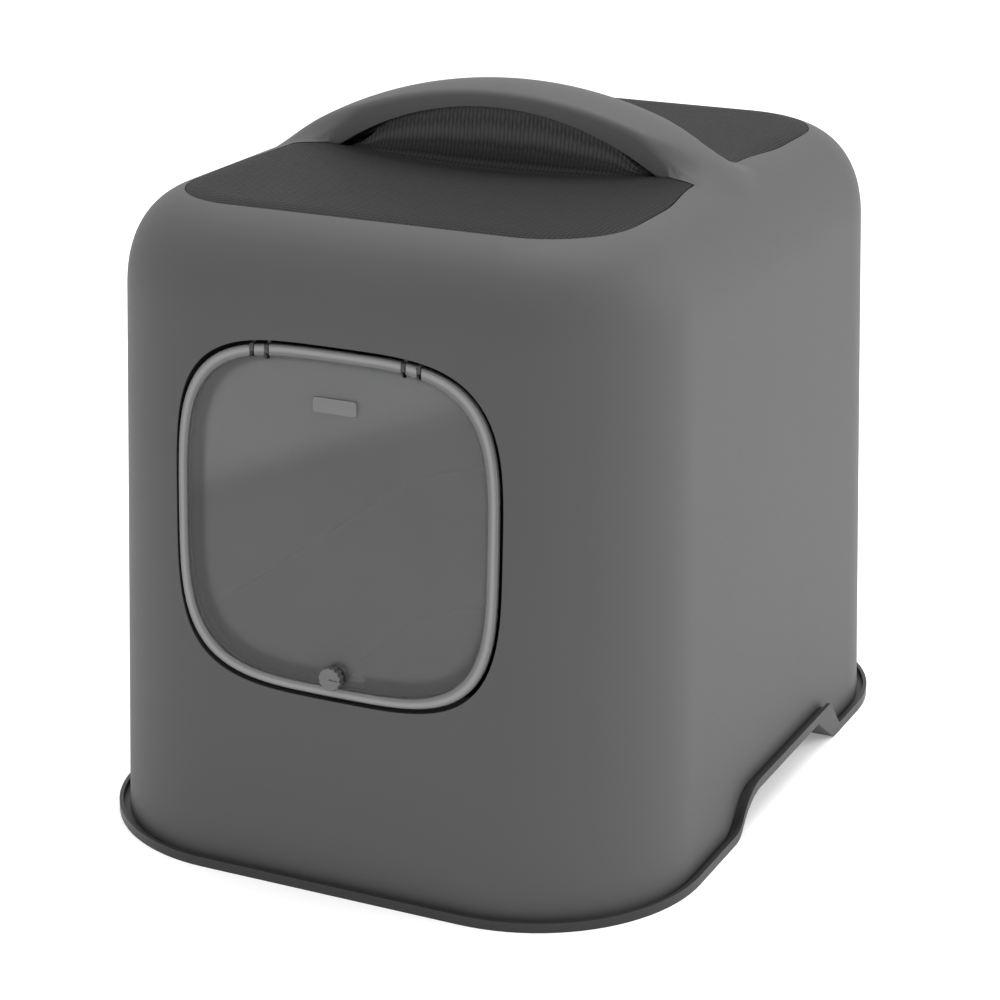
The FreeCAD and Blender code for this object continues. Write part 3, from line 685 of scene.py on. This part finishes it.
# ---- shader maths -------------------------------------------------------------------------------------
class Paint:
    """A new material and the calls that add nodes to it."""

    def __init__(self, name):
        self.material = bpy.data.materials.new(name)
        self.material.use_nodes = True
        self.tree = self.material.node_tree
        self.tree.nodes.clear()

    def node(self, kind, sockets=None, out=0, **set_first):
        """A node of a type: settings first, then the values or links of its sockets. Gives one output."""
        made = self.tree.nodes.new(kind)
        for key, value in set_first.items():
            setattr(made, key, value)
        for key, value in (sockets or {}).items():
            socket = made.inputs[key]
            if isinstance(value, Value):
                self.tree.links.new(value.socket, socket)
            else:
                socket.default_value = value
        return None if out is None else Value(self, made.outputs[out])

    def maths(self, operation, *values):
        """A Math node on values."""
        return self.node("ShaderNodeMath", dict(enumerate(values)), operation=operation)

    def place(self):
        """The piece's own coordinates, in metres."""
        return self.node("ShaderNodeTexCoord", out="Object")

    def parts(self, vector):
        """The three values of a vector."""
        first = self.node("ShaderNodeSeparateXYZ", {"Vector": vector})
        return [Value(self, out) for out in first.socket.node.outputs]

    def noise(self, scale, detail=2.0, stretch=(1, 1, 1), rough=0.5):
        """Smooth noise with a mean of one half; scale is in bumps per metre."""
        where = self.node("ShaderNodeMapping", {"Vector": self.place(), "Scale": stretch})
        return self.node("ShaderNodeTexNoise",
                         {"Vector": where, "Scale": scale, "Detail": detail, "Roughness": rough})

    def tint(self, colour, factor):
        """A colour made darker or lighter by a value."""
        return self.node("ShaderNodeMix", {"Factor": 1.0, 6: (*colour, 1), 7: self.grey(factor)},
                         out=2, data_type="RGBA", blend_type="MULTIPLY", clamp_factor=True)

    def grey(self, value):
        """A value as a grey colour."""
        return self.node("ShaderNodeCombineColor", {0: value, 1: value, 2: value})

    def blend(self, factor, first, second):
        """Mix of two colours."""
        return self.node("ShaderNodeMix", {"Factor": factor, 6: first, 7: second}, out=2, data_type="RGBA")

    def bump(self, height, distance, strength=1.0, normal=None):
        """A normal raised by a height value; distance is the real height in metres."""
        sockets = {"Height": height, "Distance": distance, "Strength": strength}
        if normal:
            sockets["Normal"] = normal
        return self.node("ShaderNodeBump", sockets)

    def finish(self, **inputs):
        """A Principled shader on the material's output. Underscores in a socket's name stand for spaces."""
        sockets = {key.replace("_", " "): value for key, value in inputs.items()}
        shader = self.node("ShaderNodeBsdfPrincipled", sockets)
        self.node("ShaderNodeOutputMaterial", {"Surface": shader}, out=None)
        return self.material


class Value:
    """A node's output that takes part in Python expressions."""

    def __init__(self, paint, socket):
        self.paint, self.socket = paint, socket

    def __add__(self, other):
        return self.paint.maths("ADD", self, other)

    def __radd__(self, other):
        return self.paint.maths("ADD", other, self)

    def __sub__(self, other):
        return self.paint.maths("SUBTRACT", self, other)

    def __rsub__(self, other):
        return self.paint.maths("SUBTRACT", other, self)

    def __mul__(self, other):
        return self.paint.maths("MULTIPLY", self, other)

    def __rmul__(self, other):
        return self.paint.maths("MULTIPLY", other, self)

    def __truediv__(self, other):
        return self.paint.maths("DIVIDE", self, other)

    def __pow__(self, other):
        return self.paint.maths("POWER", self, other)

    def __abs__(self):
        return self.paint.maths("ABSOLUTE", self)


# ---- finishes -----------------------------------------------------------------------------------------
def satin_plastic(name, colour, roughness, grain=0.010):
    """Moulded satin plastic: fine mould grain, faint flow clouds, and slightly polished patches."""
    p = Paint(name)
    clouds = p.noise(9.0, 3.0)
    flow = p.noise(26.0, 2.0, stretch=(1, 1, 0.25))
    specks = p.noise(2400.0, 1.0)
    fine = p.noise(5200.0, 2.0)
    scuffs = p.noise(70.0, 4.0, stretch=(1, 1, 3.0), rough=0.65)
    shade = 0.93 + clouds * 0.07 + flow * 0.04 + specks * 0.035
    rough = roughness - 0.05 + clouds * 0.05 + scuffs * 0.06
    normal = p.bump(fine + specks * 0.6, grain * MM, 0.8)
    return p.finish(Base_Color=p.tint(colour, shade), Roughness=rough, Normal=normal,
                    IOR=1.49, Specular_IOR_Level=0.32)


def woven_plastic(colour, pitch):
    """Moulded plain weave: rounded threads over and under each other, with painted shade darkening the colour
    between them.
    """
    p = Paint("deck weave")
    x, y, z = p.parts(p.place())
    wobble = p.noise(60.0, 2.0)
    u = x / pitch + wobble * 0.35
    v = y / pitch + wobble * 0.35

    def thread(across, along):
        lane = p.maths("FLOOR", across)
        crest = abs(p.maths("SINE", across * math.pi))
        wave = p.maths("SINE", (along + lane) * math.pi) * 0.5 + 0.5
        return crest ** 0.6 * (wave * 0.75 + 0.25)

    warp = thread(u, v)
    weft = thread(v, u + 1.0)
    # the thread height also sets the colour: lower between the threads is darker, painted shade in the
    # weave's hollows
    height = p.maths("MAXIMUM", warp, weft)
    fuzz = p.noise(3200.0, 2.0)
    worn = p.noise(14.0, 3.0)
    # painted light: the hump's raised face under the handle, inside these two masks, is made up to 6.5 times
    # lighter in colour, standing in for the light it catches
    hump = p.node("ShaderNodeMapRange", {0: abs(y), 1: 24 * MM, 2: 19 * MM}, clamp=True)
    raised = p.node("ShaderNodeMapRange", {0: z, 1: 404 * MM, 2: 412 * MM}, clamp=True)
    shade = (0.16 + height * 0.98 + fuzz * 0.2 + worn * 0.10) * (1.0 + hump * raised * 5.5)
    rough = 0.62 - height * 0.10 + worn * 0.08
    woven = p.bump(height, 0.8 * MM, 1.0)
    normal = p.bump(fuzz, 0.03 * MM, 0.5, woven)
    return p.finish(Base_Color=p.tint(colour, shade), Roughness=rough, Normal=normal,
                    IOR=1.49, Specular_IOR_Level=0.12)


def flap_plastic(tint, ring_colour, door):
    """Clear flap: see-through pane with a painted reflection at its upper left and painted shade just inside
    the ring, milky thick ring with a painted highlight band, faint sink marks and dust.
    """
    p = Paint("clear flap")
    x, y, z = p.parts(p.place())
    up = z - door.centre_z
    inner = door.half - door.ring
    reach = (abs(x) / inner) ** door.power + (abs(up) / inner) ** door.power
    ring = p.node("ShaderNodeMapRange", {0: reach, 1: 0.985, 2: 1.03}, clamp=True)
    # painted highlight: this mask and the band made from it lighten the thick ring's colour, standing in for
    # light caught in the clear ring's edge; the ring's own milky tone is its colour
    outer = p.node("ShaderNodeMapRange", {0: reach, 1: 1.06, 2: 1.22}, clamp=True)
    lines = abs(p.maths("SINE", outer * math.pi))
    haze = p.noise(16.0, 3.0)
    smudge = p.noise(42.0, 4.0, rough=0.6)
    hairline = p.noise(220.0, 3.0, stretch=(1, 1, 0.06))
    # painted reflection: a lighter tone over the pane's upper left, with a soft diagonal edge, stands in for
    # a reflection on the pane
    slant = up - x * 0.40 - 52 * MM
    painted_reflection = p.node("ShaderNodeMapRange", {0: slant, 1: -12 * MM, 2: 12 * MM}, interpolation_type="SMOOTHSTEP")
    # painted shade: the pane darkens in a band just inside the ring, wider at the left and bottom, standing
    # in for the shade of the doorway's sleeve seen through it
    sleeve = inner - 6.5 * MM
    near = (abs(x - 5 * MM) / sleeve) ** door.power + (abs(up - 4.5 * MM) / sleeve) ** door.power
    rim_shade = p.node("ShaderNodeMapRange", {0: near, 1: 0.90, 2: 1.12}, interpolation_type="SMOOTHSTEP")
    pane_shade = (0.90 + haze * 0.08 + smudge * 0.05 + painted_reflection * 0.46) * (1.0 - rim_shade * 0.52)
    ring_shade = 0.70 + haze * 0.10 + lines * 0.75
    colour = p.blend(ring, p.tint(tint, pane_shade), p.tint(ring_colour, ring_shade))
    alpha = 0.30 + haze * 0.02 + ring * 0.52
    rough = 0.14 + haze * 0.05 + ring * 0.12 + hairline * 0.03
    normal = p.bump(haze, 0.15 * MM, 0.2)
    return p.finish(Base_Color=colour, Roughness=rough, Alpha=alpha, Normal=normal,
                    IOR=1.52, Specular_IOR_Level=0.6)


def frosted_plastic():
    """Etched, frosted plaque."""
    p = Paint("frosted plaque")
    grit = p.noise(3800.0, 2.0)
    cloud = p.noise(120.0, 2.0)
    return p.finish(Base_Color=p.tint((0.140, 0.140, 0.142), 0.9 + cloud * 0.12 + grit * 0.06),
                    Roughness=0.55 + grit * 0.15, Normal=p.bump(grit, 0.02 * MM, 0.6), IOR=1.5)


def lock_plastic(colour):
    """Grey plastic with turned sheen and grip wear."""
    p = Paint("lock plastic")
    worn = p.noise(420.0, 3.0)
    fine = p.noise(4200.0, 1.0)
    return p.finish(Base_Color=p.tint(colour, 0.86 + worn * 0.2), Roughness=0.26 + worn * 0.14,
                    Normal=p.bump(fine + worn, 0.015 * MM, 0.5), Coat_Weight=0.25 + worn * 0.1, IOR=1.5)


def pin_steel():
    """Drawn steel wire: fine lines along the pin."""
    p = Paint("pin steel")
    draw = p.noise(3000.0, 2.0, stretch=(0.04, 1, 1))
    spots = p.noise(600.0, 3.0)
    return p.finish(Base_Color=p.tint((0.56, 0.56, 0.57), 0.82 + draw * 0.2 + spots * 0.08), Metallic=1.0,
                    Roughness=0.24 + draw * 0.16, Normal=p.bump(draw, 0.01 * MM, 0.6))


def carbon_foam():
    """Open-cell foam loaded with carbon, with painted shade in its pores."""
    p = Paint("carbon foam")
    cells = p.node("ShaderNodeTexVoronoi", {"Vector": p.place(), "Scale": 620.0}, out="Distance")
    big = p.node("ShaderNodeTexVoronoi", {"Vector": p.place(), "Scale": 210.0}, out="Distance")
    patch = p.noise(22.0, 3.0)
    # the cells darken the colour in their middles, where the bump puts the pores: painted shade
    shade = 0.45 + cells * 0.8 + patch * 0.25
    normal = p.bump(cells + big * 0.8, 0.7 * MM, 1.0)
    return p.finish(Base_Color=p.tint((0.030, 0.030, 0.031), shade), Roughness=0.86 + patch * 0.1,
                    Normal=normal, Specular_IOR_Level=0.2)


def pale_floor():
    """Pale, plain studio floor."""
    p = Paint("studio floor")
    soft = p.noise(1.4, 2.0)
    fine = p.noise(400.0, 2.0)
    return p.finish(Base_Color=p.tint((0.90, 0.90, 0.90), 0.985 + soft * 0.02),
                    Roughness=0.75 + fine * 0.1, Normal=p.bump(fine, 0.01 * MM, 0.2), Specular_IOR_Level=0.1,
                    Emission_Color=(1, 1, 1, 1), Emission_Strength=0.22)


# ---- the pieces that keep their engineered shape -------------------------------------------------------
class LITTER_OT_tray(bpy.types.Operator):
    """Finish the tray: dark satin moulding"""

    bl_idname = "litter.tray"
    bl_label = "Tray"

    def execute(self, context):
        tray = frame["nodes"]["tray"]
        dress(tray, satin_plastic("tray satin", settings().finish.tray, 0.42, grain=0.016))
        return {"FINISHED"}


class LITTER_OT_door(bpy.types.Operator):
    """Finish the door frame, the clear flap, its plaque and its hinge pins"""

    bl_idname = "litter.door"
    bl_label = "Door"

    def execute(self, context):
        box = settings()
        nodes = frame["nodes"]
        dress(nodes["door_frame"], satin_plastic("frame satin", box.finish.frame, 0.44))
        dress(nodes["door_flap"], flap_plastic(box.finish.clear, box.finish.ring, box.door))
        dress(nodes["name_plaque"], frosted_plastic())
        steel = pin_steel()
        for side in ("left", "right"):
            dress(nodes["hinge_pin_" + side], steel)
        return {"FINISHED"}


class LITTER_OT_lock(bpy.types.Operator):
    """Finish the turn lock's knob and tongue"""

    bl_idname = "litter.lock"
    bl_label = "Turn lock"

    def execute(self, context):
        finish = lock_plastic(settings().finish.lock)
        for name in ("lock_knob", "lock_tongue"):
            dress(frame["nodes"][name], finish)
        return {"FINISHED"}


class LITTER_OT_filter(bpy.types.Operator):
    """Finish the filter drawer and make the foam pad that lies in it"""

    bl_idname = "litter.filter"
    bl_label = "Filter"

    def execute(self, context):
        drawer = frame["nodes"]["filter_drawer"]
        dress(drawer, satin_plastic("drawer satin", settings().finish.tray, 0.5))
        size = pad_high - pad_low
        middle = (pad_low + pad_high) / 2
        across, along = 40, 34
        points, faces = [], []
        for top in (0, 1):
            for j in range(along + 1):
                for i in range(across + 1):
                    u, v = 2 * i / across - 1, 2 * j / along - 1
                    edge = (1 - abs(u) ** 8) * (1 - abs(v) ** 8)
                    ripple = 0.03 * math.sin(9 * u + 2 * v) * math.sin(8 * v)
                    lift = size.z / 2 * (0.72 + 0.25 * edge + ripple * edge)
                    pull = 0.985 + 0.012 * edge
                    points.append((middle.x + u * size.x / 2 * pull, middle.y + v * size.y / 2 * pull,
                                   middle.z + (lift if top else -lift)))
        row, layer = across + 1, (across + 1) * (along + 1)
        for j in range(along):
            for i in range(across):
                a = j * row + i
                quad = (a, a + 1, a + row + 1, a + row)
                faces.append(tuple(reversed(quad)))
                faces.append(tuple(layer + k for k in quad))
        rim = list(range(row)) + [j * row + across for j in range(1, along + 1)]
        rim += [along * row + i for i in range(across - 1, -1, -1)]
        rim += [j * row for j in range(along - 1, 0, -1)]
        for k, a in enumerate(rim):
            b = rim[(k + 1) % len(rim)]
            faces.append((a, b, b + layer, a + layer))
        pad = new_mesh("carbon_pad", points, faces)
        dress(pad, carbon_foam())
        round_edges(pad, 1.2 * MM, 3, angle=math.radians(50))
        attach(pad, "filter")
        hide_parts("filter_pad")
        return {"FINISHED"}


# ---- stage --------------------------------------------------------------------------------------------
def aim(obj, place, target):
    """Put a lamp or camera at a place, facing a target."""
    obj.location = place
    obj.rotation_mode = "QUATERNION"
    obj.rotation_quaternion = (Vector(target) - Vector(place)).to_track_quat("-Z", "Y")


def panel_light(name, place, target, size, power, shape="RECTANGLE", size_y=None):
    """Soft rectangular lamp that the camera itself doesn't see."""
    lamp = bpy.data.lights.new(name, "AREA")
    lamp.shape = shape
    lamp.size = size
    lamp.size_y = size_y or size
    lamp.energy = power
    obj = bpy.data.objects.new(name, lamp)
    bpy.context.scene.collection.objects.link(obj)
    obj.visible_camera = False
    aim(obj, place, target)
    return obj


class LITTER_OT_stage(bpy.types.Operator):
    """Make the pale floor, the soft lamps and the camera"""

    bl_idname = "litter.stage"
    bl_label = "Stage"

    def execute(self, context):
        scene = bpy.context.scene
        reach = 9.0
        floor = new_mesh("studio_floor", [(-reach, -reach, 0), (reach, -reach, 0), (reach, reach, 0),
                                          (-reach, reach, 0)], [(0, 1, 2, 3)], smooth=False)
        dress(floor, pale_floor())
        world = bpy.data.worlds.new("studio")
        scene.world = world
        world.use_nodes = True
        back = world.node_tree.nodes["Background"]
        back.inputs["Color"].default_value = (1, 1, 1, 1)
        back.inputs["Strength"].default_value = 1.0
        middle = Vector((0, 0, 0.22))
        panel_light("key", (2.7, 1.2, 1.3), middle, 2.0, 46.0)
        panel_light("top", (0.1, 0.3, 2.6), middle, 2.2, 47.0)
        scene.view_settings.view_transform = "Standard"
        camera = bpy.data.cameras.new("camera")
        camera.sensor_width = 36.0
        camera.lens = 102.37
        view = bpy.data.objects.new("camera", camera)
        scene.collection.objects.link(view)
        turn, rise = math.radians(25.61), math.radians(19.25)
        back_way = Vector((math.sin(turn) * math.cos(rise), -math.cos(turn) * math.cos(rise), math.sin(rise)))
        view.location = (0.76862, -1.61999, 0.79964)
        view.rotation_mode = "QUATERNION"
        view.rotation_quaternion = (-back_way).to_track_quat("-Z", "Y")
        scene.camera = view
        return {"FINISHED"}


# ---- panel and start ----------------------------------------------------------------------------------
OPERATORS = (LITTER_OT_stage, LITTER_OT_tray, LITTER_OT_hood, LITTER_OT_deck, LITTER_OT_door,
             LITTER_OT_lock, LITTER_OT_filter)


class LITTER_PT_panel(bpy.types.Panel):
    """Lists the makers and their settings"""

    bl_label = "Litter Box"
    bl_idname = "LITTER_PT_panel"
    bl_space_type = "VIEW_3D"
    bl_region_type = "UI"
    bl_category = "Litter Box"

    def draw(self, context):
        for operator in OPERATORS:
            self.layout.operator(operator.bl_idname)
        for group in ("hood", "deck", "door", "finish"):
            section = self.layout.box()
            part = getattr(context.scene.litter_box, group)
            for name in part.__annotations__:
                section.prop(part, name)


CLASSES = (HoodSizes, DeckSizes, DoorSizes, Finishes, BoxSettings, *OPERATORS, LITTER_PT_panel)


def register():
    for cls in CLASSES:
        bpy.utils.register_class(cls)
    bpy.types.Scene.litter_box = PointerProperty(type=BoxSettings)


def unregister():
    del bpy.types.Scene.litter_box
    for cls in reversed(CLASSES):
        bpy.utils.unregister_class(cls)


def main():
    register()
    for name in ("stage", "tray", "hood", "deck", "door", "lock", "filter"):
        getattr(bpy.ops.litter, name)()


if __name__ == "__main__":
    main()
